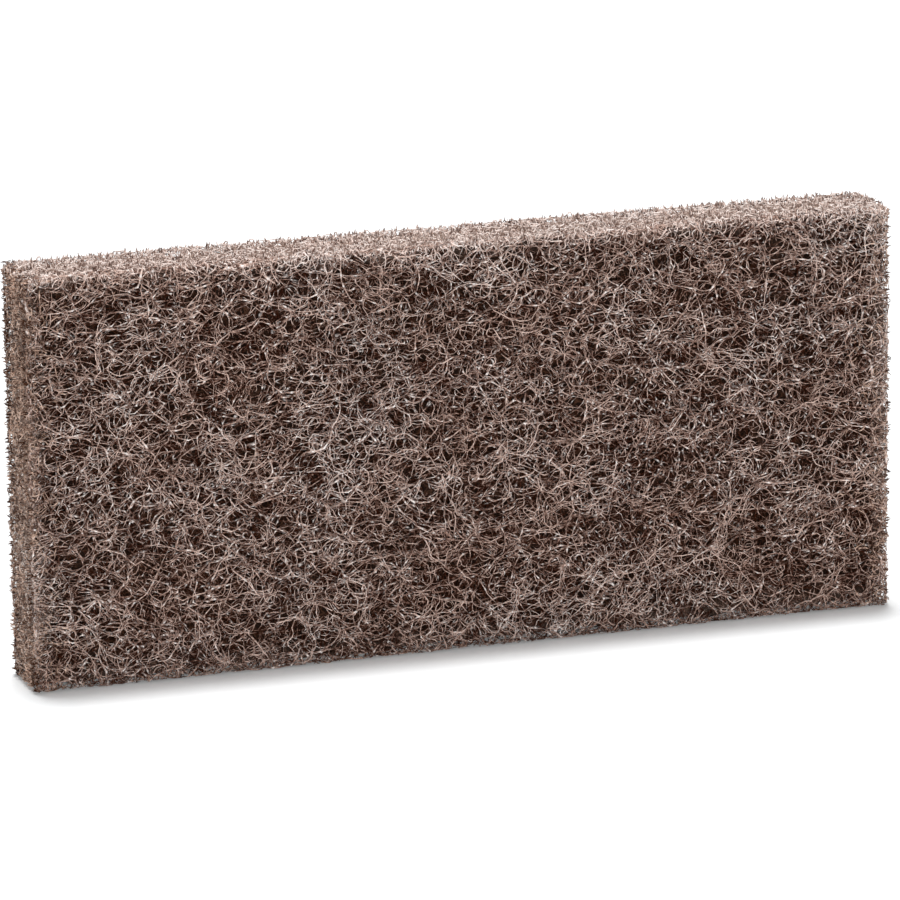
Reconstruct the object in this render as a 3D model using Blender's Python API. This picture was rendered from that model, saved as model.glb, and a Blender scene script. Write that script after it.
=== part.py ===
"""Floor stripping pad: a thick hand pad of springy non-woven fibre.

The pad is die-cut from a sheet of crimped fibre that is bonded with resin and grit.
It is one solid. Its two broad faces are an open web with shallow pockets between the
strands, and its four cut edges are closer and rougher, with softly rounded corners.

It stands on one long edge. X runs along its length, Y through its thickness and Z up.
The origin is at the middle of the edge that it rests on. Lengths are in metres.
"""

import bmesh
import bpy
from mathutils import Vector, noise

# The sheet and the die that cuts it
LENGTH = 0.254
HEIGHT = 0.117
THICKNESS = 0.024
CORNER_ROUND = 0.0018
CORNER_SEGMENTS = 2

# The open web on the broad faces: pockets between the strands
POCKET_SPACING = 0.0075
POCKET_DEPTH = 0.0022

# The closer surface on the cut edges: nicks where strands were pulled out
NICK_SPACING = 0.0060
NICK_DEPTH = 0.0009

# Where the noise is under its level, the surface lies on the face's own plane.
# The edge that the pad rests on is pressed flat over more of its area.
BROAD_FLAT_LEVEL = -0.12
CUT_FLAT_LEVEL = -0.05
REST_FLAT_LEVEL = 0.12
LEVEL_TO_FULL_DEPTH = 0.54

# How finely the surface is divided, and how far its points stray from a regular grid
CELL = 0.0040
EDGE_LAYERS = 6
STRAY = 0.0009
STRAY_SPACING = 0.0050

# A vertex whose normal is this near an axis lies inside a flat face
FLAT_NORMAL = 0.9999

# Places in the noise field, so that each pattern is its own
POCKET_PLACE = Vector((3.7, 11.2, 5.9))
NICK_PLACE = Vector((41.3, 7.7, 23.1))
STRAY_PLACE = Vector((17.9, 29.4, 2.6))

PAD_COLOUR = (0.115, 0.078, 0.064, 1.0)
PAD_ROUGHNESS = 0.85


def clear_scene():
    """Remove the objects of the scene that is open."""
    for thing in list(bpy.data.objects):
        bpy.data.objects.remove(thing, do_unlink=True)


def new_collection(name):
    """A collection in the scene, for the pad."""
    collection = bpy.data.collections.new(name)
    bpy.context.scene.collection.children.link(collection)
    return collection


def pad_material():
    """Brown resin-bonded fibre: dull all over."""
    material = bpy.data.materials.new("bonded_fibre")
    material.use_nodes = True
    shader = material.node_tree.nodes["Principled BSDF"]
    shader.inputs["Base Color"].default_value = PAD_COLOUR
    shader.inputs["Roughness"].default_value = PAD_ROUGHNESS
    shader.inputs["Metallic"].default_value = 0.0
    return material


def die_cut_block(mesh):
    """The plain block that the die leaves, with its corners rounded."""
    bmesh.ops.create_cube(mesh, size=1.0)
    bmesh.ops.scale(mesh, verts=mesh.verts, vec=(LENGTH, THICKNESS, HEIGHT))
    bmesh.ops.translate(mesh, verts=mesh.verts, vec=(0.0, 0.0, HEIGHT / 2))
    bmesh.ops.bevel(
        mesh,
        geom=mesh.edges[:],
        offset=CORNER_ROUND,
        offset_type="OFFSET",
        segments=CORNER_SEGMENTS,
        profile=0.5,
        affect="EDGES",
        material=-1,
    )


def slice_block(mesh, low, high, axis, cells):
    """Divide the block's surface with evenly spaced planes across one axis."""
    for step in range(1, cells):
        place = low + (high - low) * step / cells
        bmesh.ops.bisect_plane(
            mesh,
            geom=mesh.verts[:] + mesh.edges[:] + mesh.faces[:],
            plane_co=axis * place,
            plane_no=axis,
        )


def divide_surface(mesh):
    """Give the flat faces a grid of cells that the pockets can be sunk in."""
    half_flat_length = LENGTH / 2 - CORNER_ROUND
    half_flat_thickness = THICKNESS / 2 - CORNER_ROUND
    across_length = max(2, round(2 * half_flat_length / CELL))
    across_height = max(2, round((HEIGHT - 2 * CORNER_ROUND) / CELL))
    slice_block(mesh, -half_flat_length, half_flat_length, Vector((1, 0, 0)), across_length)
    slice_block(mesh, -half_flat_thickness, half_flat_thickness, Vector((0, 1, 0)), EDGE_LAYERS)
    slice_block(mesh, CORNER_ROUND, HEIGHT - CORNER_ROUND, Vector((0, 0, 1)), across_height)


def stray(place):
    """How far a point of the surface strays from the regular grid, as a vector."""
    return STRAY * noise.noise_vector(place / STRAY_SPACING + STRAY_PLACE)


def hollow(place, spacing, origin, flat_level):
    """How deep the web is open at a place, from 0 on the face to 1 in a pocket."""
    level = noise.fractal(place / spacing + origin, 1.0, 2.0, 2)
    share = min(1.0, max(0.0, (level - flat_level) / LEVEL_TO_FULL_DEPTH))
    return share * share * (3.0 - 2.0 * share)


def sunk_place(place, normal):
    """Where a point of the plain block's surface lies on the open web."""
    facing = max(abs(part) for part in normal)
    if facing > FLAT_NORMAL:
        shift = stray(place)
        place = place + shift - normal * shift.dot(normal)
    edge_level = REST_FLAT_LEVEL if normal.z < -FLAT_NORMAL else CUT_FLAT_LEVEL
    pocket = POCKET_DEPTH * hollow(place, POCKET_SPACING, POCKET_PLACE, BROAD_FLAT_LEVEL)
    nick = NICK_DEPTH * hollow(place, NICK_SPACING, NICK_PLACE, edge_level)
    broad = abs(normal.y)
    return place - normal * (broad * pocket + (1.0 - broad) * nick)


def open_the_web(mesh):
    """Sink the pockets and nicks into the block's surface."""
    mesh.normal_update()
    places = [sunk_place(vert.co.copy(), vert.normal.copy()) for vert in mesh.verts]
    for vert, place in zip(mesh.verts, places):
        vert.co = place


def build_pad(collection):
    """The pad, as one object in the given collection."""
    mesh = bmesh.new()
    die_cut_block(mesh)
    divide_surface(mesh)
    open_the_web(mesh)
    bmesh.ops.triangulate(mesh, faces=mesh.faces[:], quad_method="SHORT_EDGE")
    data = bpy.data.meshes.new("stripping_pad")
    mesh.to_mesh(data)
    mesh.free()
    data.materials.append(pad_material())
    pad = bpy.data.objects.new("stripping_pad", data)
    collection.objects.link(pad)
    return pad


def main():
    clear_scene()
    pad = build_pad(new_collection("floor_stripping_pad"))
    print(pad.name, "has", len(pad.data.polygons), "triangles")


main()
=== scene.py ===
# %% [markdown]
# # A floor stripping pad of brown non-woven fibre
#
# The pad is cut from a sheet of crimped synthetic fibre, about as thick as fishing line,
# that is sprayed with resin and grit and baked. There is no weave in it: every strand
# wanders by itself, lies over its neighbours and is glued where it touches them. So the
# look isn't a surface with a texture. It is thousands of curled threads with dark air
# between them, and this script models the threads.
#
# The solid that carries the pad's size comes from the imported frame. A darker core made
# from it stands under the threads, and every thread is placed from the solid's box.
#
# A cushion would be made with a cloth simulation. This pad has no cover and no filling: it
# is one stiff springy block with square-cut edges, so there is nothing to swell or drape.

# %% Load the frame
import math
from collections import namedtuple

import bmesh
import bpy
import numpy as np
from mathutils import Matrix, Vector, noise


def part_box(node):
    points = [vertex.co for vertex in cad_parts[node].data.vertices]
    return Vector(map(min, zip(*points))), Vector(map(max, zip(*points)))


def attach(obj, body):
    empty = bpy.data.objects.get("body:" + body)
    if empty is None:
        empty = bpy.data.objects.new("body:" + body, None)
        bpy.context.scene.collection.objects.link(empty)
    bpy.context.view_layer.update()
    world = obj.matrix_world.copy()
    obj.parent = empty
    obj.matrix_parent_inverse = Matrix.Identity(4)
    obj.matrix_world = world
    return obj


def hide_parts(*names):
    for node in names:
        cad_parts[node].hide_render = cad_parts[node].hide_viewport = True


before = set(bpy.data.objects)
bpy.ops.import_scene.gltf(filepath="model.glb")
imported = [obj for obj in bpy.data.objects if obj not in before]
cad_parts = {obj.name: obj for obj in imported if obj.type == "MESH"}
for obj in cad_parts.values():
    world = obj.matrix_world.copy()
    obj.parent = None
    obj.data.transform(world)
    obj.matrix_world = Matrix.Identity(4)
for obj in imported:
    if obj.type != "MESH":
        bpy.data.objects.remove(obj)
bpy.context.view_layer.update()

PAD_NODE = "stripping_pad"
MM = 0.001

low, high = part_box(PAD_NODE)
size = high - low
print("pad box in mm:", [round(side / MM, 1) for side in size])


def new_object(name, data):
    """An object with this data, in the scene."""
    thing = bpy.data.objects.new(name, data)
    bpy.context.scene.collection.objects.link(thing)
    return thing

# %% [markdown]
# ## The camera
#
# A product photograph of a small thing is taken from far off with a long lens, so the
# pad's sides are nearly parallel. The azimuth, elevation, roll and focal length here were
# worked out from where the pad's corners lie in the picture. The camera sits a little
# to the left of the pad and above it, and looks down on the top cut edge.

# %% Camera
CAMERA_AZIMUTH = math.radians(-18.9)
CAMERA_ELEVATION = math.radians(13.7)
CAMERA_ROLL = math.radians(-0.75)
CAMERA_DISTANCE = 1.733
CAMERA_AIM_RIGHT = -0.0016
CAMERA_AIM_UP = -0.0036
FOCAL_PIXELS = 6164.0
PICTURE_PIXELS = 900.0
SENSOR_MM = 36.0
NEAREST_SEEN = 0.05
FURTHEST_SEEN = 50.0


def camera_axes(azimuth, elevation, roll):
    """The camera's right, up and backward directions."""
    back = Vector((
        math.sin(azimuth) * math.cos(elevation),
        -math.cos(azimuth) * math.cos(elevation),
        math.sin(elevation),
    ))
    level_right = Vector((0.0, 0.0, 1.0)).cross(back).normalized()
    level_up = back.cross(level_right)
    right = level_right * math.cos(roll) + level_up * math.sin(roll)
    up = level_up * math.cos(roll) - level_right * math.sin(roll)
    return right, up, back


def make_camera():
    """The photograph's camera, aimed near the middle of the pad."""
    data = bpy.data.cameras.new("camera")
    data.sensor_width = SENSOR_MM
    data.lens = FOCAL_PIXELS * SENSOR_MM / PICTURE_PIXELS
    data.clip_start = NEAREST_SEEN
    data.clip_end = FURTHEST_SEEN
    camera = new_object("camera", data)
    right, up, back = camera_axes(CAMERA_AZIMUTH, CAMERA_ELEVATION, CAMERA_ROLL)
    middle = (low + high) / 2
    place = middle + right * CAMERA_AIM_RIGHT + up * CAMERA_AIM_UP + back * CAMERA_DISTANCE
    turn = Matrix((right, up, back)).transposed().to_4x4()
    camera.matrix_world = Matrix.Translation(place) @ turn
    bpy.context.scene.camera = camera
    return camera


camera = make_camera()
print("lens in mm:", round(camera.data.lens, 1))

# %% [markdown]
# ## Shader maths as Python
#
# A material is a graph of nodes. Written node by node it is hard to read, so this small
# class wraps one output socket, and each operator adds the Math node it stands for.

# %% Shader sums
class Wire:
    """One output of a node, which can be used in sums like a number."""

    def __init__(self, tree, socket):
        self.tree = tree
        self.socket = socket

    def maths(self, operation, *others, clamp=False):
        settings = {"operation": operation, "use_clamp": clamp}
        return add_node(self.tree, "ShaderNodeMath", settings, dict(enumerate((self, *others))))

    def __add__(self, other):
        return self.maths("ADD", other)

    def __mul__(self, other):
        return self.maths("MULTIPLY", other)

    def __sub__(self, other):
        return self.maths("SUBTRACT", other)

    def __rsub__(self, other):
        return (self * -1.0) + other

    def __pow__(self, other):
        return self.maths("POWER", other)

    __radd__ = __add__
    __rmul__ = __mul__

    def clamped(self):
        return self.maths("ADD", 0.0, clamp=True)

# %% [markdown]
# ## Nodes in one line
#
# Every other node comes from one function too. The few kinds that the pad's materials
# use get a short name each.

# %% Node helpers
def plug(tree, target, value):
    """Link a wire to a socket, or set the socket's own value."""
    if isinstance(value, Wire):
        tree.links.new(value.socket, target)
    else:
        target.default_value = value


def add_node(tree, kind, settings=None, inputs=None, output=0):
    """Add a node: its settings come first, then its sockets, by name or by number."""
    node = tree.nodes.new(kind)
    for name, value in (settings or {}).items():
        setattr(node, name, value)
    for name, value in (inputs or {}).items():
        plug(tree, node.inputs[name], value)
    return Wire(tree, node.outputs[output])


def mix_colours(tree, share, first, second):
    """From the first colour at 0 to the second at 1."""
    sockets = {0: share, 6: first, 7: second}
    return add_node(tree, "ShaderNodeMix", {"data_type": "RGBA"}, sockets, output=2)


def attribute(tree, name):
    """A number that the mesh carries on its points."""
    return add_node(tree, "ShaderNodeAttribute", {"attribute_name": name}, output="Fac")


def object_place(tree):
    """Where a point is on the pad, in metres."""
    return add_node(tree, "ShaderNodeTexCoord", output="Object")


def noise_node(tree, place, scale, detail):
    """Soft noise from 0 to 1, with about this many lumps to the metre."""
    inputs = {"Vector": place, "Scale": scale, "Detail": detail}
    return add_node(tree, "ShaderNodeTexNoise", None, inputs)


def bump_node(tree, height, strength, distance):
    """A bump with this strength, whose full height is this many metres."""
    inputs = {"Height": height, "Strength": strength, "Distance": distance}
    return add_node(tree, "ShaderNodeBump", None, inputs)


def new_material(name):
    """An empty node material, with its Principled shader and its tree."""
    material = bpy.data.materials.new(name)
    material.use_nodes = True
    tree = material.node_tree
    print("material:", name)
    return material, tree, tree.nodes["Principled BSDF"]

# %% [markdown]
# ## Noise over a plane
#
# The strands need smooth random fields: where the web is gathered into ridges, and where
# it is open. A coarse table of seeded random numbers, read with smooth steps between its
# entries, is enough, and numpy reads it for every point of every strand at once.

# %% Smooth field
TABLE_MARGIN = 2


def smooth_step(share):
    """From 0 to 1 with a level start and end."""
    return share * share * (3.0 - 2.0 * share)


def smooth_field(rng, spacing, width, height):
    """A function of two coordinates, from about -1 to 1, that changes over the spacing."""
    columns = int(width / spacing) + 3 * TABLE_MARGIN
    rows = int(height / spacing) + 3 * TABLE_MARGIN
    table = rng.uniform(-1.0, 1.0, (columns, rows))

    def read(a, b):
        place_a = np.clip(a / spacing + TABLE_MARGIN, 0.0, columns - 1.001)
        place_b = np.clip(b / spacing + TABLE_MARGIN, 0.0, rows - 1.001)
        column = place_a.astype(int)
        row = place_b.astype(int)
        along_a = smooth_step(place_a - column)
        along_b = smooth_step(place_b - row)
        near = table[column, row] * (1 - along_a) + table[column + 1, row] * along_a
        far = table[column, row + 1] * (1 - along_a) + table[column + 1, row + 1] * along_a
        return near * (1 - along_b) + far * along_b

    return read


sample_field = smooth_field(np.random.default_rng(1), 0.25, 1.0, 1.0)
print("a field along a line:", sample_field(np.linspace(0.0, 1.0, 5), np.zeros(5)).round(2))

# %% [markdown]
# ## Six panels
#
# The block has two broad faces and four cut edges. Each is described by a corner, two
# directions along it, and the direction out of it, so one set of functions can lay
# threads on all six. Depth is counted inwards from the panel.

# %% Panels
Panel = namedtuple("Panel", "name corner along up out width height")

X, Y, Z = Vector((1, 0, 0)), Vector((0, 1, 0)), Vector((0, 0, 1))

FRONT = Panel("front", Vector((low.x, low.y, low.z)), X, Z, -Y, size.x, size.z)
BACK = Panel("back", Vector((high.x, high.y, low.z)), -X, Z, Y, size.x, size.z)
TOP = Panel("top", Vector((low.x, low.y, high.z)), X, Y, Z, size.x, size.y)
REST = Panel("rest", Vector((low.x, high.y, low.z)), X, -Y, -Z, size.x, size.y)
LEFT = Panel("left", Vector((low.x, high.y, low.z)), -Y, Z, -X, size.y, size.z)
RIGHT = Panel("right", Vector((high.x, low.y, low.z)), Y, Z, X, size.y, size.z)

for panel in (FRONT, BACK, TOP, REST, LEFT, RIGHT):
    print(panel.name, "in mm:", round(panel.width / MM), "x", round(panel.height / MM))


def to_world(panel, a, b, depth):
    """Points of the panel, as an array of places in the frame."""
    corner, along, up, out = (np.array(v) for v in (panel.corner, panel.along, panel.up, panel.out))
    return corner + a[..., None] * along + b[..., None] * up - depth[..., None] * out

# %% [markdown]
# ## Over the rim
#
# Where two panels meet, the rim is rounded and no thread stops dead at it. What runs past
# a panel's side is bent round onto the next panel, so the two surfaces mix.

# %% Rims
RIM_ROUND = 1.2 * MM


def inward_distance(panel, a, b):
    """How far points of the panel lie inside its nearest side."""
    return np.minimum(np.minimum(a, panel.width - a), np.minimum(b, panel.height - b))


def rim_depth(panel, a, b):
    """How far the rounded rim falls away from the panel's plane, near the panel's sides."""
    missing = np.clip(RIM_ROUND - inward_distance(panel, a, b), 0.0, RIM_ROUND)
    return RIM_ROUND - np.sqrt(RIM_ROUND ** 2 - missing ** 2)


def over_the_rim(panel, path, lift, most):
    """Bend what runs past the panel's side round onto the next panel.

    Both coordinates come back within the panel and a little lift, with how far each point
    has gone past the side. Nothing is lifted below the floor that the pad stands on.
    """
    a, b = path[..., 0], path[..., 1]
    past = np.clip(-inward_distance(panel, a, b), 0.0, most)
    lift = lift[:, None]
    foot = np.minimum(lift, 0.0) if panel.up.z > 0.0 else lift
    return np.clip(a, -lift, panel.width + lift), np.clip(b, -foot, panel.height + lift), past


side_middle = rim_depth(FRONT, np.array([0.0, RIM_ROUND]), np.full(2, FRONT.height / 2))
print("how far the rim falls away, in mm:", (side_middle / MM).round(2))

# %% [markdown]
# ## Where the web is open
#
# The solid's broad faces have shallow pockets, and the same noise gives them here, so the
# threads dip where the solid does.

# %% Pockets
POCKET_SPACING = 7.5 * MM
POCKET_DEPTH = 2.2 * MM
POCKET_PLACE = Vector((3.7, 11.2, 5.9))
FLAT_LEVEL = -0.12
LEVEL_TO_FULL_DEPTH = 0.54


def pocket_share(panel, a, b):
    """How open the web is at points of a broad face, from 0 to 1."""
    places = to_world(panel, a, b, np.zeros_like(a)).reshape(-1, 3) / POCKET_SPACING
    levels = [noise.fractal(Vector(p) + POCKET_PLACE, 1.0, 2.0, 2) for p in places]
    share = (np.array(levels).reshape(a.shape) - FLAT_LEVEL) / LEVEL_TO_FULL_DEPTH
    return smooth_step(np.clip(share, 0.0, 1.0))


middle_line = np.linspace(0.0, FRONT.width, 200)
middle_share = pocket_share(FRONT, middle_line, np.full(200, FRONT.height / 2))
print("open along the middle of the front:", round(middle_share.mean(), 2))

# %% [markdown]
# ## One wandering thread
#
# A crimped fibre bends one way, then the other, sometimes right round into a loop. If the
# bend, not the direction, is what changes at random, and it changes slowly, the line
# curls like the real fibre. Short steps are spent where the bend is tight and long ones
# where the thread runs straight, which keeps the triangle count down.

# %% Wandering lines
BEND_PER_STEP = 0.60
LEAN_SPREAD = 0.22
LEAST_CURVE = 1.0


def fading(rng, values, keep, spread=1.0):
    """The next values of a noise that keeps a share of itself at each step."""
    return keep * values + np.sqrt(1.0 - keep ** 2) * rng.normal(0.0, 1.0, len(values)) * spread


def wander(rng, starts, points, bend, memory, step_low, step_high):
    """Lines that curl as they go: where each point is, and how far along its line."""
    count = len(starts)
    heading = rng.uniform(0.0, 2.0 * math.pi, count)
    lean = rng.normal(0.0, LEAN_SPREAD, count) * bend
    turn = rng.normal(0.0, 1.0, count) * bend
    place = starts.copy()
    path = np.empty((count, points, 2))
    run = np.zeros((count, points))
    for index in range(points):
        path[:, index] = place
        curve = turn + lean
        step = np.clip(BEND_PER_STEP / np.maximum(np.abs(curve), LEAST_CURVE), step_low, step_high)
        heading = heading + curve * step
        place = place + step[:, None] * np.stack((np.cos(heading), np.sin(heading)), axis=1)
        turn = fading(rng, turn, np.exp(-step / memory), bend)
        if index + 1 < points:
            run[:, index + 1] = run[:, index] + step
    return path, run


def slow_noise(rng, run, memory):
    """Noise along each line that forgets itself over the given length."""
    values = np.empty_like(run)
    values[:, 0] = rng.normal(0.0, 1.0, len(run))
    for index in range(1, run.shape[1]):
        keep = np.exp(-(run[:, index] - run[:, index - 1]) / memory)
        values[:, index] = fading(rng, values[:, index - 1], keep)
    return values

# %% [markdown]
# ## Threads become tubes
#
# A bevelled curve is Blender's own way to make a tube. A three-sided profile is enough
# for a thread about one pixel wide, and it costs six triangles a step.

# %% Thread curves
# A strand's depth is how deep it lies plus painted shade, and it sets the painted shade of its colour.
Strand = namedtuple("Strand", "places radii tone depth grains")

PROFILE_SIDES = 3


def profile_object():
    """The three-sided outline that is swept along every thread."""
    curve = bpy.data.curves.new("thread_profile", "CURVE")
    spline = curve.splines.new("POLY")
    spline.points.add(PROFILE_SIDES - 1)
    for index in range(PROFILE_SIDES):
        angle = -2.0 * math.pi * index / PROFILE_SIDES
        spline.points[index].co = (math.cos(angle), math.sin(angle), 0.0, 1.0)
    spline.use_cyclic_u = True
    return bpy.data.objects.new("thread_profile", curve)


thread_profile = profile_object()
print("sides of a thread:", len(thread_profile.data.splines[0].points))


def plain_strand(places, radii, tone, depth):
    """A strand with no grain of grit on it."""
    return Strand(places, radii, tone, depth, np.zeros(len(places)))


def strand_curve(name, strands):
    """One curve object with a spline for each strand, both ends drawn out to points."""
    curve = bpy.data.curves.new(name, "CURVE")
    curve.dimensions = "3D"
    curve.bevel_mode = "OBJECT"
    curve.bevel_object = thread_profile
    for strand in strands:
        spline = curve.splines.new("POLY")
        spline.points.add(len(strand.places) - 1)
        places = np.ones((len(strand.places), 4))
        places[:, :3] = strand.places
        radii = strand.radii.copy()
        radii[[0, -1]] = 0.0
        spline.points.foreach_set("co", places.ravel())
        spline.points.foreach_set("radius", radii)
    return new_object(name, curve)

# %% [markdown]
# ## From curves to one mesh
#
# Each end of a tube runs out to a point, so merging the points of the tip closes it.
# Three values are written on each thread for its material: a tone of its own, how deep
# it lies with painted shade added, which sets its painted shade, and where a grain of grit
# sits on it, which is also painted pale as a glint. The map gives every thread its own
# small rectangle.

# %% Strand meshes
FULL_SHADE_DEPTH = 2.6 * MM
MAP_MARGIN = 0.12
CORNERS_PER_STEP = 4 * PROFILE_SIDES
TIP_MERGE = 1e-7


def write_values(mesh, name, values):
    """A number on each point of the mesh, for the material to read."""
    layer = mesh.attributes.new(name, "FLOAT", "POINT")
    layer.data.foreach_set("value", values.astype(np.float32))


def lay_out_map(mesh, counts, cell_ratio):
    """Move each strand's part of the tube's own map into a cell of its own."""
    columns = max(1, round(math.sqrt(len(counts) / cell_ratio)))
    rows = -(-len(counts) // columns)
    cell = np.repeat(np.arange(len(counts)), (counts - 1) * CORNERS_PER_STEP)
    layer = mesh.uv_layers[0]
    layer.name = "OFBake"
    flat = np.empty(len(mesh.loops) * 2, np.float32)
    layer.data.foreach_get("uv", flat)
    along, around = flat[0::2].copy(), flat[1::2].copy()
    end_margin = MAP_MARGIN / cell_ratio
    flat[0::2] = (cell % columns + end_margin + along * (1 - 2 * end_margin)) / columns
    flat[1::2] = (cell // columns + MAP_MARGIN + around * (1 - 2 * MAP_MARGIN)) / rows
    layer.data.foreach_set("uv", flat)


def write_strand_values(mesh, strands, counts):
    """Each strand's tone, painted-shade depth and grains on the points of its tube."""
    depths = np.concatenate([strand.depth for strand in strands])
    grains = np.concatenate([strand.grains for strand in strands])
    tones = np.array([strand.tone for strand in strands])
    write_values(mesh, "tone", np.repeat(tones, counts * PROFILE_SIDES))
    write_values(mesh, "depth", np.repeat(np.clip(depths / FULL_SHADE_DEPTH, 0.0, 1.0), PROFILE_SIDES))
    write_values(mesh, "grains", np.repeat(grains, PROFILE_SIDES))


def strand_piece(name, strands, cell_ratio):
    """The strands as one mesh object of closed tubes."""
    curve_object = strand_curve(name + "_curve", strands)
    graph = bpy.context.evaluated_depsgraph_get()
    mesh = bpy.data.meshes.new_from_object(curve_object.evaluated_get(graph))
    mesh.name = name
    counts = np.array([len(strand.places) for strand in strands])
    write_strand_values(mesh, strands, counts)
    lay_out_map(mesh, counts, cell_ratio)
    shape = bmesh.new()
    shape.from_mesh(mesh)
    bmesh.ops.remove_doubles(shape, verts=shape.verts[:], dist=TIP_MERGE)
    shape.to_mesh(mesh)
    shape.free()
    bpy.data.objects.remove(curve_object, do_unlink=True)
    piece = new_object(name, mesh)
    triangles = sum(len(face.vertices) - 2 for face in mesh.polygons)
    length = sum(np.linalg.norm(np.diff(s.places, axis=0), axis=1).sum() for s in strands)
    print(name, len(strands), "strands", round(length, 1), "m", triangles, "triangles")
    return piece

# %% [markdown]
# ## Even, but not regular
#
# The sheet is laid by machine, so no part of it has many more fibres than another. Places
# drawn quite at random would clump, so each cell of a grid gets one, strayed a little.

# %% Even starts
STRAY_IN_CELL = (-0.3, 1.3)


def even_starts(rng, panel, count, margin=0.0):
    """About count places, spread evenly over the panel and a margin round it."""
    width, height = panel.width + 2 * margin, panel.height + 2 * margin
    spacing = math.sqrt(width * height / count)
    columns = max(1, round(width / spacing))
    rows = max(1, round(height / spacing))
    grid = np.stack(np.meshgrid(np.arange(columns), np.arange(rows), indexing="ij"), axis=-1)
    places = grid.reshape(-1, 2) + rng.uniform(*STRAY_IN_CELL, (columns * rows, 2))
    return places * np.array([width / columns, height / rows]) - margin


print("places for 100 asked:", len(even_starts(np.random.default_rng(1), FRONT, 100)))

# %% [markdown]
# ## The run of the threads over a broad face
#
# Threads start evenly over the face, then a smooth field pulls them together into ridges,
# which leaves the small dark openings between. They lean towards the sheet's long way,
# as carded fibre does. Those that leave the face are cut into the stretches that stay.

# %% Web lines
LAYER_PARTS = "count points bend memory step_low step_high top bottom sway dive kink radius"
Layer = namedtuple("Layer", LAYER_PARTS)

START_MARGIN = 8.0 * MM
BEND_RANGE = (0.15, 1.6)
SPREAD_LEVEL = np.array([1.12, 0.885])
GATHER = 0.85 * MM
GATHER_SPACING = 3.6 * MM
SLOPE_REACH = 0.15


def gathered(path, field):
    """The path, pulled towards the ridges of the field."""
    a, b = path[..., 0], path[..., 1]
    reach = SLOPE_REACH * GATHER_SPACING
    slope_a = (field(a + reach, b) - field(a - reach, b)) * 0.5 * GATHER_SPACING / reach
    slope_b = (field(a, b + reach) - field(a, b - reach)) * 0.5 * GATHER_SPACING / reach
    return path + GATHER * 0.5 * np.stack((slope_a, slope_b), axis=-1)


def web_lines(rng, panel, layer, field):
    """The layer's lines over the panel, and how far along its line each point is."""
    starts = even_starts(rng, panel, layer.count, START_MARGIN)
    bend = layer.bend * rng.uniform(*BEND_RANGE, len(starts))
    path, run = wander(rng, starts, layer.points, bend, layer.memory, layer.step_low, layer.step_high)
    middle = path[:, layer.points // 2].copy()
    path = gathered(starts[:, None] + (path - middle[:, None]) * SPREAD_LEVEL, field)
    return path + rng.normal(0.0, layer.kink, path.shape), run


def cut_to_panel(panel, path, fewest):
    """The stretches of the lines that the panel keeps: each its line, first point and end.

    A stretch takes in the first point past the side, so that it runs up to the side.
    """
    inside = np.zeros((len(path), path.shape[1] + 2), bool)
    inside[:, 1:-1] = inward_distance(panel, path[..., 0], path[..., 1]) > 0.0
    reach = inside.copy()
    reach[:, 1:-2] |= inside[:, 2:-1]
    reach[:, 2:-1] |= inside[:, 1:-2]
    change = np.diff(reach.astype(int), axis=1)
    firsts, ends = np.argwhere(change == 1), np.argwhere(change == -1)
    return [(k, i, j) for (k, i), (_, j) in zip(firsts, ends) if j - i >= fewest]

# %% [markdown]
# ## How deep the threads lie
#
# Each thread has its own depth, sways in and out, and dives at both ends, because a free
# end is rarely on top. It sinks between the ridges and into the pockets. Near a rim the
# threads are held closer to the surface, where the die pressed the sheet.

# %% Web depth
MOST_PROUD = 0.25 * MM
SWAY_MEMORY = 2.6 * MM
DIVE_POWER = 5
VALLEY_DEPTH = 1.4 * MM
FOLLOW_POCKETS = 0.4
FOLLOW_RANGE = (0.4, 1.0)
FULL_RIM = 5.0 * MM
RIM_SHALLOW = 0.4


def web_depth(rng, panel, layer, a, b, run, field):
    """How deep the layer's threads lie under the panel."""
    count = len(run)
    own = rng.uniform(layer.top, layer.bottom, count)[:, None]
    sway = layer.sway * slow_noise(rng, run, SWAY_MEMORY)
    ends = np.abs(2.0 * run / run[:, -1:] - 1.0) ** DIVE_POWER
    follow = FOLLOW_POCKETS * rng.uniform(*FOLLOW_RANGE, count)[:, None]
    valley = np.clip(-field(a, b), 0.0, 1.0)
    lie = np.maximum(own + sway, -MOST_PROUD) + layer.dive * ends
    lie = lie + VALLEY_DEPTH * valley + follow * POCKET_DEPTH * pocket_share(panel, a, b)
    rim = np.clip(inward_distance(panel, a, b) / FULL_RIM, 0.0, 1.0)
    return lie * (RIM_SHALLOW + (1.0 - RIM_SHALLOW) * rim)

# %% [markdown]
# ## Thickness and grit
#
# The fibres aren't all of one thickness, and the resin swells them here and there. About
# one point in ten carries a grain of grit, more in some patches than in others, and the
# material paints each grain pale, partly as a painted glint. Grains side by side would
# make a white streak, so the point after a grain gets none.

# %% Thickness and grains
THICKNESS_SPREAD = 0.22
THICKNESS_RANGE = (0.55, 1.5)
SWELL = 0.12
SWELL_MEMORY = 2.0 * MM
SWELL_RANGE = (0.5, 1.5)
GRAIN_SHARE = 0.20
GRAIN_SWELL = 0.8
GRAIN_PATCH = 9.0 * MM
GRAIN_CROWD = 0.5
GRAIN_CROWD_RANGE = (0.0, 1.5)


def thickness_and_grains(rng, layer, run, crowd):
    """The radius at every point of the threads, and 1 where a grain sits."""
    thick = np.clip(np.exp(rng.normal(0.0, THICKNESS_SPREAD, len(run))), *THICKNESS_RANGE)
    radii = layer.radius * thick[:, None]
    radii = radii * np.clip(1.0 + SWELL * slow_noise(rng, run, SWELL_MEMORY), *SWELL_RANGE)
    grains = (rng.uniform(0.0, 1.0, radii.shape) < GRAIN_SHARE * crowd).astype(float)
    grains[:, 1:] *= 1.0 - grains[:, :-1]
    return radii * (1.0 + GRAIN_SWELL * grains), grains

# %% [markdown]
# ## A layer of threads on a broad face
#
# One function puts the last three steps together. Little light gets in close to the
# floor, so the threads are coloured there as if they lay deeper.

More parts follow.
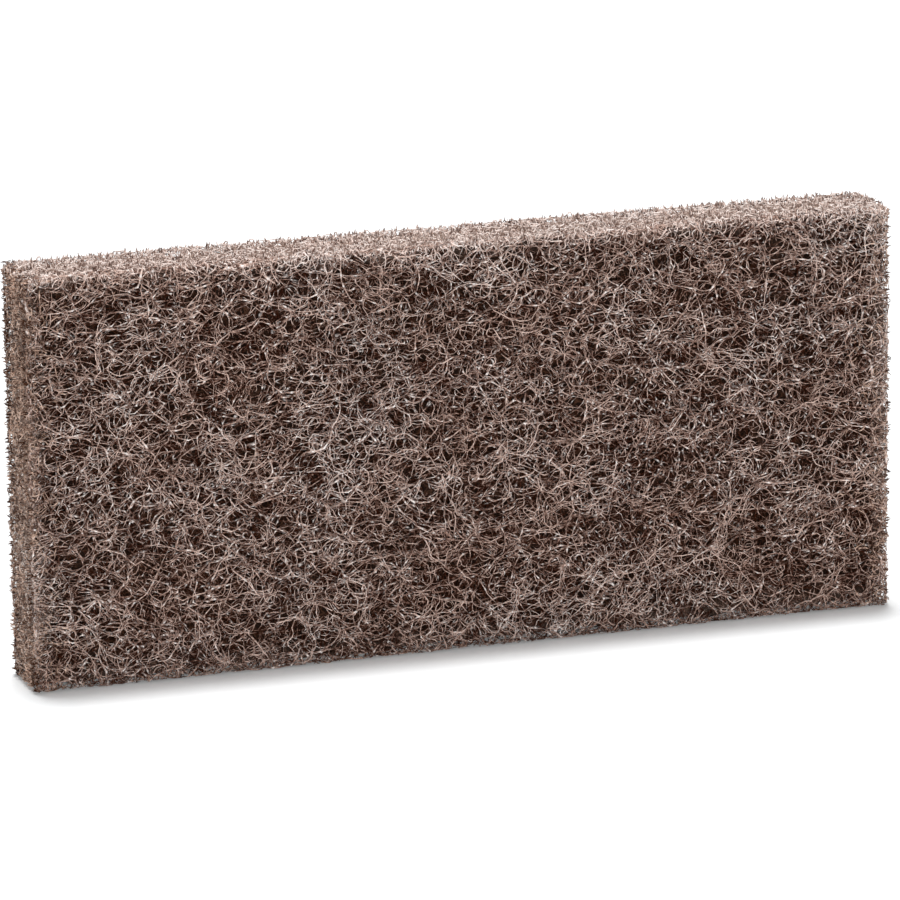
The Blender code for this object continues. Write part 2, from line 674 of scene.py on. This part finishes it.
# %% Web layer
RIM_LIFT = (-0.5 * MM, 0.3 * MM)
WRAP = 2.4 * MM
FEWEST_POINTS = 4
FOOT_SHADE = 0.9 * MM
FOOT_REACH = 5.0 * MM
WEB_CELL_RATIO = 12


def web_layer(rng, panel, layer):
    """The strands of one layer of the web on a broad face."""
    field = smooth_field(rng, GATHER_SPACING, panel.width, panel.height)
    grit_field = smooth_field(rng, GRAIN_PATCH, panel.width, panel.height)
    path, run = web_lines(rng, panel, layer, field)
    count = len(path)
    a, b, past = over_the_rim(panel, path, rng.uniform(*RIM_LIFT, count), WRAP)
    lie = web_depth(rng, panel, layer, a, b, run, field)
    places = to_world(panel, a, b, lie + past + rim_depth(panel, a, b))
    shade = lie + FOOT_SHADE * np.clip(1.0 - b / FOOT_REACH, 0.0, 1.0)
    crowd = np.clip(GRAIN_CROWD + grit_field(a, b), *GRAIN_CROWD_RANGE)
    radii, grains = thickness_and_grains(rng, layer, run, crowd)
    tones = rng.uniform(0.0, 1.0, count)
    return [
        Strand(places[k, i:j], radii[k, i:j], tones[k], shade[k, i:j], grains[k, i:j])
        for k, i, j in cut_to_panel(panel, path, FEWEST_POINTS)
    ]


def web_piece(name, seed, panel, layer):
    """One layer of the web as an object."""
    return strand_piece(name, web_layer(np.random.default_rng(seed), panel, layer), WEB_CELL_RATIO)

# %% [markdown]
# ## The front of the pad
#
# Three layers make the depth that shows: stiff thick threads low down, finer and curlier
# ones on top. About half of all the triangles go here, as the front fills the picture.

# %% Front web
UNDER_WEB = Layer(
    count=1450, points=16, bend=380.0, memory=2.2 * MM, step_low=1.4 * MM, step_high=2.8 * MM,
    top=1.6 * MM, bottom=3.0 * MM, sway=0.5 * MM, dive=0.6 * MM, kink=0.08 * MM, radius=0.175 * MM,
)
MIDDLE_WEB = Layer(
    count=2180, points=18, bend=430.0, memory=1.9 * MM, step_low=1.05 * MM, step_high=2.2 * MM,
    top=0.7 * MM, bottom=1.9 * MM, sway=0.55 * MM, dive=0.8 * MM, kink=0.11 * MM, radius=0.145 * MM,
)
TOP_WEB = Layer(
    count=2280, points=19, bend=470.0, memory=1.8 * MM, step_low=0.90 * MM, step_high=2.0 * MM,
    top=0.0 * MM, bottom=0.9 * MM, sway=0.6 * MM, dive=1.2 * MM, kink=0.12 * MM, radius=0.138 * MM,
)

front_under = web_piece("front_under_web", 11, FRONT, UNDER_WEB)
front_middle = web_piece("front_middle_web", 13, FRONT, MIDDLE_WEB)
front_top = web_piece("front_top_web", 12, FRONT, TOP_WEB)

# %% [markdown]
# ## The back of the pad
#
# The photograph doesn't show the back. A sheet like this is the same on both sides, so the
# back gets the same web from other random numbers. Two layers do here, with slightly
# thicker threads to close the gaps that the third layer would fill.

# %% Back web
BACK_UNDER_WEB = MIDDLE_WEB._replace(
    count=1450, step_low=1.3 * MM, step_high=2.6 * MM, bottom=2.3 * MM, radius=0.17 * MM)
BACK_TOP_WEB = TOP_WEB._replace(
    count=1780, step_low=1.1 * MM, step_high=2.3 * MM, bottom=1.2 * MM, radius=0.155 * MM)
back_under = web_piece("back_under_web", 21, BACK, BACK_UNDER_WEB)
back_top = web_piece("back_top_web", 22, BACK, BACK_TOP_WEB)

# %% [markdown]
# ## The cut edges
#
# The sheet's threads lie along the broad faces, so the knife meets most of them across,
# and a cut edge is a close pile of short ends. Some stand out as spikes and give the pad
# its bristly outline. An end is three points: a root inside, a bowed middle and a tip.

# %% Cut ends
Stubs = namedtuple("Stubs", "spacing root lean stand spike spike_share radius")

EDGE_SHADE = 0.42
RIM_LOOSE = 0.45 * MM
RIM_LOOSE_RANGE = (-0.3, 1.0)
RIM_BAND = 3.0 * MM
STUB_SHARES = np.array([0.0, 0.55, 1.0])
STUB_TAPER = np.array([1.0, 1.0, 0.0])
STUB_BOW = 0.35
STUB_SUNK = 0.3 * MM
ROOT_RANGE = (0.7, 1.3)
EDGE_RADIUS_RANGE = (0.75, 1.25)
SPIKE_SHADE = np.array([0.0, 1.3, 3.2]) * MM
SPIKE_SWELL = 0.5


def edge_starts(rng, panel, spacing):
    """Places over a cut edge, with as many again in the band along its rims."""
    count = panel.width * panel.height / spacing ** 2
    middle, more = even_starts(rng, panel, count), even_starts(rng, panel, count)
    near_rim = inward_distance(panel, more[:, 0], more[:, 1]) < RIM_BAND
    return np.concatenate((middle, more[near_rim]))


def stub_ends(rng, panel, stubs, most_stand):
    """Short cut ends that stand nearly square to a cut edge."""
    starts = edge_starts(rng, panel, stubs.spacing)
    count = len(starts)
    lean = rng.normal(0.0, stubs.lean, (count, 2))
    bow = rng.normal(0.0, STUB_BOW * stubs.lean, (count, 2))
    stand = rng.uniform(-STUB_SUNK, stubs.stand, count)
    tall = rng.uniform(0.0, 1.0, count) < stubs.spike_share
    stand = np.where(tall, rng.uniform(stubs.stand, stubs.spike, count), stand)
    stand = np.minimum(stand, most_stand)
    root = rng.uniform(*ROOT_RANGE, count) * stubs.root
    radius = stubs.radius * rng.uniform(*EDGE_RADIUS_RANGE, count) * (1.0 + SPIKE_SWELL * tall)
    tones = rng.uniform(0.0, 1.0, count)
    arch = 4.0 * STUB_SHARES * (1.0 - STUB_SHARES)
    path = starts[:, None] + lean[:, None] * STUB_SHARES[:, None] + bow[:, None] * arch[:, None]
    a, b, past = over_the_rim(panel, path, rng.uniform(*RIM_LOOSE_RANGE, count) * RIM_LOOSE, 0.0)
    depth = root[:, None] - (root + stand)[:, None] * STUB_SHARES
    places = to_world(panel, a, b, depth + past + rim_depth(panel, a, b))
    # Painted shade: the deeper part of each end is darker, and spikes get darker towards their tips.
    shade = EDGE_SHADE * depth + tall[:, None] * SPIKE_SHADE
    return [plain_strand(places[k], radius[k] * STUB_TAPER, tones[k], shade[k]) for k in range(count)]

# %% [markdown]
# ## Freed curls
#
# The knife frees short curls from the threads that it cuts. They lie loose on the cut
# edge, and some bend over its rim. They are the same wandering lines, only shorter.

# %% Edge curls
CURL_POINTS = 5
FEWEST_CURL_POINTS = 3
CURL_RADIUS = 0.19 * MM
CURL_BEND = 800.0
CURL_BEND_RANGE = (0.4, 1.5)
CURL_MEMORY = 1.2 * MM
CURL_STEPS = (0.6 * MM, 1.4 * MM)
CURL_LIFT = (-0.1 * MM, 0.3 * MM)
CURL_DEEPEST = 0.9 * MM
CURL_SWAY = 0.35 * MM
CURL_SWAY_MEMORY = 1.5 * MM


def edge_curls(rng, panel, starts, most_stand, radius=CURL_RADIUS):
    """Short curls that lie on a panel and bend over its rim."""
    count = len(starts)
    bend = CURL_BEND * rng.uniform(*CURL_BEND_RANGE, count)
    path, run = wander(rng, starts, CURL_POINTS, bend, CURL_MEMORY, *CURL_STEPS)
    lift = np.minimum(rng.uniform(*CURL_LIFT, count), most_stand)
    a, b, past = over_the_rim(panel, path, lift, WRAP if most_stand > 0.0 else 0.0)
    own = rng.uniform(0.0, CURL_DEEPEST, count)[:, None]
    lie = np.maximum(own + CURL_SWAY * slow_noise(rng, run, CURL_SWAY_MEMORY), -most_stand)
    places = to_world(panel, a, b, lie + past + rim_depth(panel, a, b))
    radii = radius * rng.uniform(*EDGE_RADIUS_RANGE, count)
    tones = rng.uniform(0.0, 1.0, count)
    # Deeper curls get painted shade.
    return [
        plain_strand(places[k, i:j], np.full(j - i, radii[k]), tones[k], EDGE_SHADE * lie[k, i:j])
        for k, i, j in cut_to_panel(panel, path, FEWEST_CURL_POINTS)
    ]

# %% [markdown]
# ## Small hoops
#
# Here and there a crimped thread springs out of a cut edge and goes back in. Against the
# white background these are the little rings that the outline shows.

# %% Hoops
HOOP_POINTS = 6
HOOP_TURN = np.linspace(-0.25, 1.25, HOOP_POINTS) * math.pi
HOOP_HALF_WIDTH = (0.45, 0.9)
HOOP_RISE = (0.3, 1.1)
HOOP_ROOT = 0.3 * MM
HOOP_RADIUS = 0.19 * MM
HOOP_RADIUS_RANGE = (0.8, 1.2)
HOOP_SHADE = 1.3 * MM


def hoops(rng, panel, spacing, most_stand):
    """Small loops that spring out of a cut edge and go back in."""
    starts = even_starts(rng, panel, panel.width * panel.height / spacing ** 2)
    count = len(starts)
    heading = rng.uniform(0.0, math.pi, count)
    half = rng.uniform(*HOOP_HALF_WIDTH, count) * MM
    rise = np.minimum(rng.uniform(*HOOP_RISE, count) * MM, most_stand)
    across = half[:, None] * np.cos(HOOP_TURN)
    way = np.stack((np.cos(heading), np.sin(heading)), axis=-1)
    path = starts[:, None] + across[..., None] * way[:, None]
    a, b, past = over_the_rim(panel, path, np.full(count, RIM_LOOSE), 0.0)
    depth = HOOP_ROOT - (rise + HOOP_ROOT)[:, None] * np.sin(HOOP_TURN)
    places = to_world(panel, a, b, depth + past + rim_depth(panel, a, b))
    radii = HOOP_RADIUS * rng.uniform(*HOOP_RADIUS_RANGE, count)
    tones = rng.uniform(0.0, 1.0, count)
    # Painted shade: the hoops are coloured as if they lay deeper than the edge round them.
    shade = EDGE_SHADE * depth + HOOP_SHADE
    return [
        plain_strand(places[k], np.full(HOOP_POINTS, radii[k]), tones[k], shade[k])
        for k in range(count)
    ]

# %% [markdown]
# ## A whole cut edge
#
# Ends, curls and hoops together make one edge. The edge that the pad rests on is pressed
# flat, so nothing stands out of it, and it is in the dark.

# %% Cut edge
CUT_STUBS = Stubs(
    spacing=1.32 * MM, root=1.3 * MM, lean=0.7 * MM, stand=0.65 * MM,
    spike=1.35 * MM, spike_share=0.30, radius=0.19 * MM,
)
CURLS_PER_AREA = 0.27 / MM ** 2
HOOP_SPACING = 4.4 * MM
FREE_STAND = 1.3 * MM
REST_STAND = -0.05 * MM
REST_SHADE = 1.4 * MM


def darkened(strands, shade):
    """The strands with painted shade, coloured as if they lay deeper."""
    return [strand._replace(depth=strand.depth + shade) for strand in strands]


def cut_edge(seed, panel, fullness, most_stand):
    """All the short strands of one cut edge."""
    rng = np.random.default_rng(seed)
    stubs = CUT_STUBS._replace(spacing=CUT_STUBS.spacing / math.sqrt(fullness))
    curls = even_starts(rng, panel, fullness * CURLS_PER_AREA * panel.width * panel.height)
    strands = stub_ends(rng, panel, stubs, most_stand) + edge_curls(rng, panel, curls, most_stand)
    if most_stand > 0.0:
        return strands + hoops(rng, panel, HOOP_SPACING, most_stand)
    return darkened(strands, REST_SHADE)

# %% [markdown]
# ## Curls that spill over the rims
#
# On the real pad no hard line parts a cut edge from a broad face. Freed curls lie on the
# broad faces too, crowded at the rim and fewer further in. The curls from the top edge get
# painted shade, and towards the broad faces the two ends of the pad get painted shade,
# where they round over into the open web.

# %% Spilled curls
Spill = namedtuple("Spill", "per_length fade shade")

TOP_SPILL = Spill(1.5 / MM, 2.0 * MM, 0.9 * MM)
END_SPILL = Spill(2.6 / MM, 3.4 * MM, 0.0)
SPILL_STAND = 0.25 * MM
END_RIM_SHADE = 0.9 * MM
END_RIM_REACH = 7.0 * MM
END_RIM_FADE = 4.0 * MM


def spilled(seed, panel, axis, far, spill):
    """Curls on a broad face that crowd towards one of its sides, across the given axis."""
    rng = np.random.default_rng(seed)
    reach = (panel.width, panel.height)
    count = round(spill.per_length * reach[1 - axis])
    starts = rng.uniform(0.0, reach[1 - axis], (count, 2))
    inward = rng.exponential(spill.fade, count)
    starts[:, axis] = reach[axis] - inward if far else inward
    return darkened(edge_curls(rng, panel, starts, SPILL_STAND), spill.shade)


def rim_darkened(strands):
    """The strands of the pad's ends, with more painted shade towards the broad faces."""
    shaded = []
    for strand in strands:
        inward = size.y / 2 - np.abs(strand.places[:, 1])
        share = np.clip((END_RIM_REACH - inward) / END_RIM_FADE, 0.0, 1.0)
        shaded.append(strand._replace(depth=strand.depth + END_RIM_SHADE * share))
    return shaded

# %% [markdown]
# ## The edge pieces
#
# The top edge is painted paler than the others, as painted light from above, and the two
# ends a little browner, so the top has a piece of its own. The ends share theirs with the
# edge that the pad rests on.

# %% Edge pieces
EDGE_CELL_RATIO = 3
FULL, RIGHT_FULLNESS, REST_FULLNESS = 1.0, 0.85, 0.4

top_strands = cut_edge(31, TOP, FULL, FREE_STAND)
top_strands += spilled(41, FRONT, 1, True, TOP_SPILL) + spilled(42, BACK, 1, True, TOP_SPILL)
top_edge = strand_piece("top_edge_ends", top_strands, EDGE_CELL_RATIO)

end_strands = cut_edge(33, LEFT, FULL, FREE_STAND)
end_strands += cut_edge(34, RIGHT, RIGHT_FULLNESS, FREE_STAND)
end_strands += spilled(45, FRONT, 0, False, END_SPILL) + spilled(46, FRONT, 0, True, END_SPILL)
end_strands += spilled(47, BACK, 0, False, END_SPILL) + spilled(48, BACK, 0, True, END_SPILL)
rest_strands = cut_edge(32, REST, REST_FULLNESS, REST_STAND)
side_edges = strand_piece("side_edge_ends", rim_darkened(end_strands) + rest_strands, EDGE_CELL_RATIO)

# %% [markdown]
# ## Fine hairs on the front
#
# Between the threads the photograph shows much finer ones, which soften the dark gaps.
# Short thin curls all over the front stand for them, short to save triangles.

# %% Fuzz
FUZZ_COUNT = 3500
FUZZ_RADIUS = 0.105 * MM
FUZZ_STAND = 0.1 * MM


def fuzz(seed, panel, count):
    """Fine short hairs that lie over the web of a broad face."""
    rng = np.random.default_rng(seed)
    return edge_curls(rng, panel, even_starts(rng, panel, count), FUZZ_STAND, FUZZ_RADIUS)


front_fuzz = strand_piece("front_fuzz", fuzz(51, FRONT, FUZZ_COUNT), EDGE_CELL_RATIO)
bpy.data.objects.remove(thread_profile)

# %% [markdown]
# ## The core
#
# Behind the threads the web goes on, but too deep for single threads to be told apart.
# The solid itself, drawn in by a couple of millimetres, closes the view there. It stands
# for the solid in every other view as well.

# %% Core
CORE_UNDER_BROAD = 2.4 * MM
CORE_UNDER_CUT = 0.8 * MM
CORE_RIM = 6.0 * MM
CORE_ROUGH = 0.5 * MM
CORE_ROUGH_SPACING = 2.6 * MM
CORE_MERGE = 1e-6


def core_broadness(place, normal):
    """1 inside a broad face and underneath, half at a broad face's rim, 0 on a cut edge."""
    inward = min(place.x - low.x, high.x - place.x, place.z - low.z, high.z - place.z)
    return max(-normal.z, abs(normal.y) * (0.5 + 0.5 * min(1.0, max(0.0, inward / CORE_RIM))))


def make_core():
    """The shaded inner web, drawn in from the solid's surface."""
    shape = bmesh.new()
    shape.from_mesh(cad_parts[PAD_NODE].data)
    bmesh.ops.remove_doubles(shape, verts=shape.verts[:], dist=CORE_MERGE)
    shape.normal_update()
    broadness = [core_broadness(vert.co, vert.normal) for vert in shape.verts]
    for vert, broad in zip(shape.verts, broadness):
        inset = CORE_UNDER_CUT + (CORE_UNDER_BROAD - CORE_UNDER_CUT) * broad
        rough = CORE_ROUGH * noise.noise(vert.co / CORE_ROUGH_SPACING)
        vert.co -= vert.normal * (inset + rough)
    mesh = bpy.data.meshes.new("inner_web")
    shape.to_mesh(mesh)
    shape.free()
    write_values(mesh, "broad", np.array(broadness))
    mesh.shade_smooth()
    print("inner_web", len(mesh.polygons), "triangles")
    return new_object("inner_web", mesh)


core = make_core()

# %% [markdown]
# ## Brown resin on fibre
#
# The fibre is dyed and coated in brown resin with fine grit in it. On top it looks a
# dusty grey-brown, and further in it is darker and redder, because light reaches it only
# after it has bounced off other brown threads. That shade is painted into the colour, so
# each finish has three browns: for the outermost threads, a little way in, and deep. Where
# a thread lies, with painted shade added in some places, sets how far along them it is,
# and noise at three sizes and the thread's own tone make it uneven.
#
# The grains of grit are painted pale, partly as grit and partly as a painted glint, and
# a few specks on the outer threads are painted glints. Both are glassy on the upper
# threads. Only they get a coat, because a shine on whole threads would turn them into
# pale wires.

# %% Thread finish
Finish = namedtuple("Finish", "name browns shine mottling clouding glassy_grit")

MOTTLE_SCALE, MOTTLE_STRENGTH = 1050.0, 2.3
GRIT_SCALE, GRIT_STRENGTH = 2600.0, 1.5
CLOUD_SCALE = 170.0
TONE_STRENGTH = 0.35
LEAST_DEPTH, DEPTH_POWER, DEPTH_STRENGTH = 0.02, 0.75, 0.95
BASE_SHADE = 0.125


def thread_brown(tree, finish, depth, tone, mottle, grit, cloud):
    """The brown of a thread, from outermost to deep, with depth as painted shade."""
    uneven = (mottle - 0.5) * MOTTLE_STRENGTH + (grit - 0.5) * GRIT_STRENGTH + (tone - 0.5) * TONE_STRENGTH
    shade = (depth + LEAST_DEPTH) ** DEPTH_POWER * DEPTH_STRENGTH + BASE_SHADE
    shade = shade + uneven * finish.mottling + (cloud - 0.5) * finish.clouding
    outer, middle, deep = finish.browns
    half_way = mix_colours(tree, (shade * 2.0).clamped(), outer, middle)
    return mix_colours(tree, (shade * 2.0 - 1.0).clamped(), half_way, deep)


PALE_GRIT_AND_GLINT = (1.00, 0.93, 0.895, 1.0)
GLINT_PATCH_SCALE, GLINT_PATCH_STRENGTH = 45.0, 0.35
GLINT_LEVEL, GLINT_SHARPNESS = 0.76, 12.0
GLINT_DEPTH_FADE = 1.4
GRAIN_SHARPNESS = 5.0


def grit_and_painted_glints(tree, place, depth, grains, grit):
    """1 on the grains and on scattered painted glints of the outer threads, and 0 elsewhere."""
    glint_patch = noise_node(tree, place, GLINT_PATCH_SCALE, 1.0)
    unshaded = (1.0 - depth * GLINT_DEPTH_FADE).clamped()
    # Painted glints: pale specks on the outer threads, crowded in patches and fading with depth.
    painted_glints = ((grit + glint_patch * GLINT_PATCH_STRENGTH - GLINT_LEVEL) * GLINT_SHARPNESS).clamped() * unshaded
    return (painted_glints + grains ** GRAIN_SHARPNESS).clamped()


ROUGHNESS, TONE_GLOSS, UNEVEN_GLOSS = 0.6, 0.2, 0.5
COAT_ROUGHNESS = 0.2
GRIT_BUMP, GRIT_HEIGHT = 0.6, 0.0001


def thread_material(finish):
    """Resin-coated fibre: tone by strand, painted shade by depth, grit and painted glints as pale specks,
    and fine bump.
    """
    material, tree, shader = new_material(finish.name)
    tone, depth, grains = (attribute(tree, kind) for kind in ("tone", "depth", "grains"))
    place = object_place(tree)
    mottle = noise_node(tree, place, MOTTLE_SCALE, 2.0)
    grit = noise_node(tree, place, GRIT_SCALE, 1.0)
    cloud = noise_node(tree, place, CLOUD_SCALE, 2.0)
    brown = thread_brown(tree, finish, depth, tone, mottle, grit, cloud)
    grit_and_glint = grit_and_painted_glints(tree, place, depth, grains, grit)
    rough = (ROUGHNESS - tone * TONE_GLOSS + (mottle - 0.5) * UNEVEN_GLOSS).clamped()
    plug(tree, shader.inputs["Base Color"], mix_colours(tree, grit_and_glint, brown, PALE_GRIT_AND_GLINT))
    plug(tree, shader.inputs["Roughness"], rough)
    shader.inputs["Specular IOR Level"].default_value = finish.shine
    if finish.glassy_grit:
        plug(tree, shader.inputs["Coat Weight"], grit_and_glint)
        shader.inputs["Coat Roughness"].default_value = COAT_ROUGHNESS
    plug(tree, shader.inputs["Normal"], bump_node(tree, grit, GRIT_BUMP, GRIT_HEIGHT))
    return material

# %% [markdown]
# ## The inner web
#
# What shows between the threads is more web, painted nearly black as painted shade deep in
# the broad faces and underneath, and a plain brown close under the cut edges. Cells whose
# borders are bright look like a net of dim threads, and a swirl keeps the borders from
# being straight.

# %% Core material
SWIRL_SCALE = 450.0
SWIRL_SHIFT = (0.0016, 0.0016, 0.0016)
NET_SCALES_AND_LEVELS = ((480.0, 1.0), (760.0, 0.6))
NET_SHARPNESS = 9.0
CUT_GAP, CUT_FIBRE = (0.26, 0.175, 0.138, 1.0), (0.48, 0.36, 0.305, 1.0)
SHADED_BROAD_GAP, SHADED_BROAD_FIBRE = (0.008, 0.003, 0.0015, 1.0), (0.065, 0.027, 0.014, 1.0)
CORE_ROUGHNESS, CORE_SHINE = 0.9, 0.08
NET_BUMP, NET_HEIGHT = 0.8, 0.0005


def net_of_threads(tree):
    """1 on the lines of a curled net and 0 between them."""
    place = object_place(tree)
    swirl_inputs = {"Vector": place, "Scale": SWIRL_SCALE, "Detail": 1.0}
    swirl = add_node(tree, "ShaderNodeTexNoise", None, swirl_inputs, output="Color")
    shifted = {0: swirl, 1: SWIRL_SHIFT, 2: place}
    bent = add_node(tree, "ShaderNodeVectorMath", {"operation": "MULTIPLY_ADD"}, shifted)
    lines = 0.0
    for scale, bright in NET_SCALES_AND_LEVELS:
        settings = {"feature": "DISTANCE_TO_EDGE"}
        cells = add_node(tree, "ShaderNodeTexVoronoi", settings, {"Vector": bent, "Scale": scale})
        lines = (1.0 - cells * NET_SHARPNESS).clamped() * bright + lines
    return lines.clamped()


def core_material():
    """The inner web: dark with painted shade, with a network of dim threads too deep to model."""
    material, tree, shader = new_material("bonded_fibre_core")
    broad = attribute(tree, "broad")
    lines = net_of_threads(tree)
    # Painted shade: the core is nearly black under the broad faces and underneath, and brown under the cut
    # edges.
    gap = mix_colours(tree, broad, CUT_GAP, SHADED_BROAD_GAP)
    fibre = mix_colours(tree, broad, CUT_FIBRE, SHADED_BROAD_FIBRE)
    plug(tree, shader.inputs["Base Color"], mix_colours(tree, lines, gap, fibre))
    shader.inputs["Roughness"].default_value = CORE_ROUGHNESS
    shader.inputs["Specular IOR Level"].default_value = CORE_SHINE
    plug(tree, shader.inputs["Normal"], bump_node(tree, lines, NET_BUMP, NET_HEIGHT))
    return material

# %% [markdown]
# ## Finishes on the pieces
#
# The upper threads shine a little and carry the grit. The lower ones are dull. The top
# cut edge is painted the palest, as painted light from the overhead lamp, and the two ends
# of the pad are cloudier. Every piece rides with the pad, and the core takes the solid's
# place.

# %% Finishes
# Outer, middle and deep browns: the darker ones are painted shade with depth, and the top edge's are paler
# as painted light from above.
WEB_BROWNS = (0.74, 0.545, 0.467, 1.0), (0.36, 0.216, 0.167, 1.0), (0.048, 0.0105, 0.0030, 1.0)
TOP_LIT_BROWNS = (1.00, 0.880, 0.825, 1.0), (0.86, 0.675, 0.600, 1.0), (0.100, 0.0450, 0.0290, 1.0)
SIDE_BROWNS = (0.86, 0.620, 0.495, 1.0), (0.47, 0.305, 0.229, 1.0), (0.065, 0.0235, 0.0110, 1.0)

upper_threads = thread_material(Finish("bonded_fibre_upper", WEB_BROWNS, 0.18, 1.05, 0.3, True))
under_threads = thread_material(Finish("bonded_fibre_under", WEB_BROWNS, 0.06, 1.0, 0.3, False))
top_threads = thread_material(Finish("bonded_fibre_top_edge", TOP_LIT_BROWNS, 0.12, 0.65, 0.6, False))
side_threads = thread_material(Finish("bonded_fibre_side_edges", SIDE_BROWNS, 0.1, 0.9, 2.0, False))
looks = {
    front_under: under_threads, back_under: under_threads, front_middle: under_threads,
    front_top: upper_threads, back_top: upper_threads, front_fuzz: upper_threads,
    top_edge: top_threads, side_edges: side_threads,
}
for piece, look in looks.items():
    piece.data.materials.append(look)
    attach(piece, "root")
core.data.materials.append(core_material())
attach(core, "root")
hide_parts(PAD_NODE)
print("pieces of thread:", len(looks))

# %% [markdown]
# ## Floor and background
#
# The pad stands on a pale floor in an even white studio. The white behind comes from what
# the camera sees of the world and floor, not from more light on the pad, and the floor
# keeps the pad's shadow.

# %% Floor and world
FLOOR_SIDE = 12.0
FLOOR_DROP = 0.0003
FLOOR_COLOUR = (0.845, 0.86, 0.868, 1.0)
FLOOR_ROUGHNESS = 0.9
FLOOR_LIFT = 0.13
WORLD_GREY = (0.24, 0.24, 0.24, 1.0)
WHITE = (1.0, 1.0, 1.0, 1.0)
BLACK = (0.0, 0.0, 0.0, 1.0)


def seen_ray(tree):
    """1 for rays that the camera sees, straight or in a shiny or clear surface."""
    kinds = ("Is Camera Ray", "Is Glossy Ray", "Is Transmission Ray")
    camera_ray, glossy_ray, clear_ray = (
        add_node(tree, "ShaderNodeLightPath", output=kind) for kind in kinds)
    return (camera_ray + glossy_ray + clear_ray).clamped()


def make_floor():
    """A pale floor that shows white to the camera but keeps the pad's shadow."""
    shape = bmesh.new()
    bmesh.ops.create_grid(shape, x_segments=1, y_segments=1, size=FLOOR_SIDE / 2)
    bmesh.ops.translate(shape, verts=shape.verts[:], vec=(0.0, 0.0, low.z - FLOOR_DROP))
    mesh = bpy.data.meshes.new("floor")
    shape.to_mesh(mesh)
    shape.free()
    floor = new_object("floor", mesh)
    material, tree, shader = new_material("pale_floor")
    shader.inputs["Base Color"].default_value = FLOOR_COLOUR
    shader.inputs["Roughness"].default_value = FLOOR_ROUGHNESS
    plug(tree, shader.inputs["Emission Color"], mix_colours(tree, seen_ray(tree), BLACK, WHITE))
    shader.inputs["Emission Strength"].default_value = FLOOR_LIFT
    mesh.materials.append(material)


def make_world():
    """White where it is seen, and a softer grey where it only lights."""
    world = bpy.data.worlds.new("studio")
    bpy.context.scene.world = world
    world.use_nodes = True
    tree = world.node_tree
    background = tree.nodes["Background"]
    plug(tree, background.inputs["Color"], mix_colours(tree, seen_ray(tree), WORLD_GREY, WHITE))
    background.inputs["Strength"].default_value = 1.0


make_floor()
make_world()
print("world:", bpy.context.scene.world.name)

# %% [markdown]
# ## Light
#
# The main light is broad, overhead and a little behind the pad. It leaves the top cut edge
# bright and rakes down the front, so each thread has a lit side and a shaded one, and it
# throws the short soft shadow in front. Two weak fills keep the sides clear.

# %% Lights
OVERHEAD_TILT = math.radians(5.6)
OVERHEAD_WIDTH = math.radians(10.2)
OVERHEAD_LEVEL = 0.94
FILL_AIM = (0.0, 0.0, 0.06)
FILL_SIDE = 0.9
FRONT_FILL_PLACE, FRONT_FILL_WATTS = (-0.5, -1.8, 0.45), 15.5
BACK_FILL_PLACE, BACK_FILL_WATTS = (0.7, 1.8, 0.40), 10.0


def softbox(name, place, watts):
    """A square area light that points from a place to the pad."""
    data = bpy.data.lights.new(name, "AREA")
    data.shape = "RECTANGLE"
    data.size = FILL_SIDE
    data.size_y = FILL_SIDE
    data.energy = watts
    lamp = new_object(name, data)
    lamp.location = place
    lamp.rotation_euler = (Vector(place) - Vector(FILL_AIM)).to_track_quat("Z", "Y").to_euler()


def overhead(tilt_back, width, level):
    """A broad, even light from above: a level of 1 shows a white floor as white."""
    data = bpy.data.lights.new("overhead", "SUN")
    data.angle = width
    data.energy = level * math.pi
    new_object("overhead", data).rotation_euler = (-tilt_back, 0.0, 0.0)


overhead(OVERHEAD_TILT, OVERHEAD_WIDTH, OVERHEAD_LEVEL)
softbox("front_fill", FRONT_FILL_PLACE, FRONT_FILL_WATTS)
softbox("back_fill", BACK_FILL_PLACE, BACK_FILL_WATTS)

scene = bpy.context.scene
scene.view_settings.view_transform = "Standard"
print("lights:", [lamp.name for lamp in bpy.data.lights])
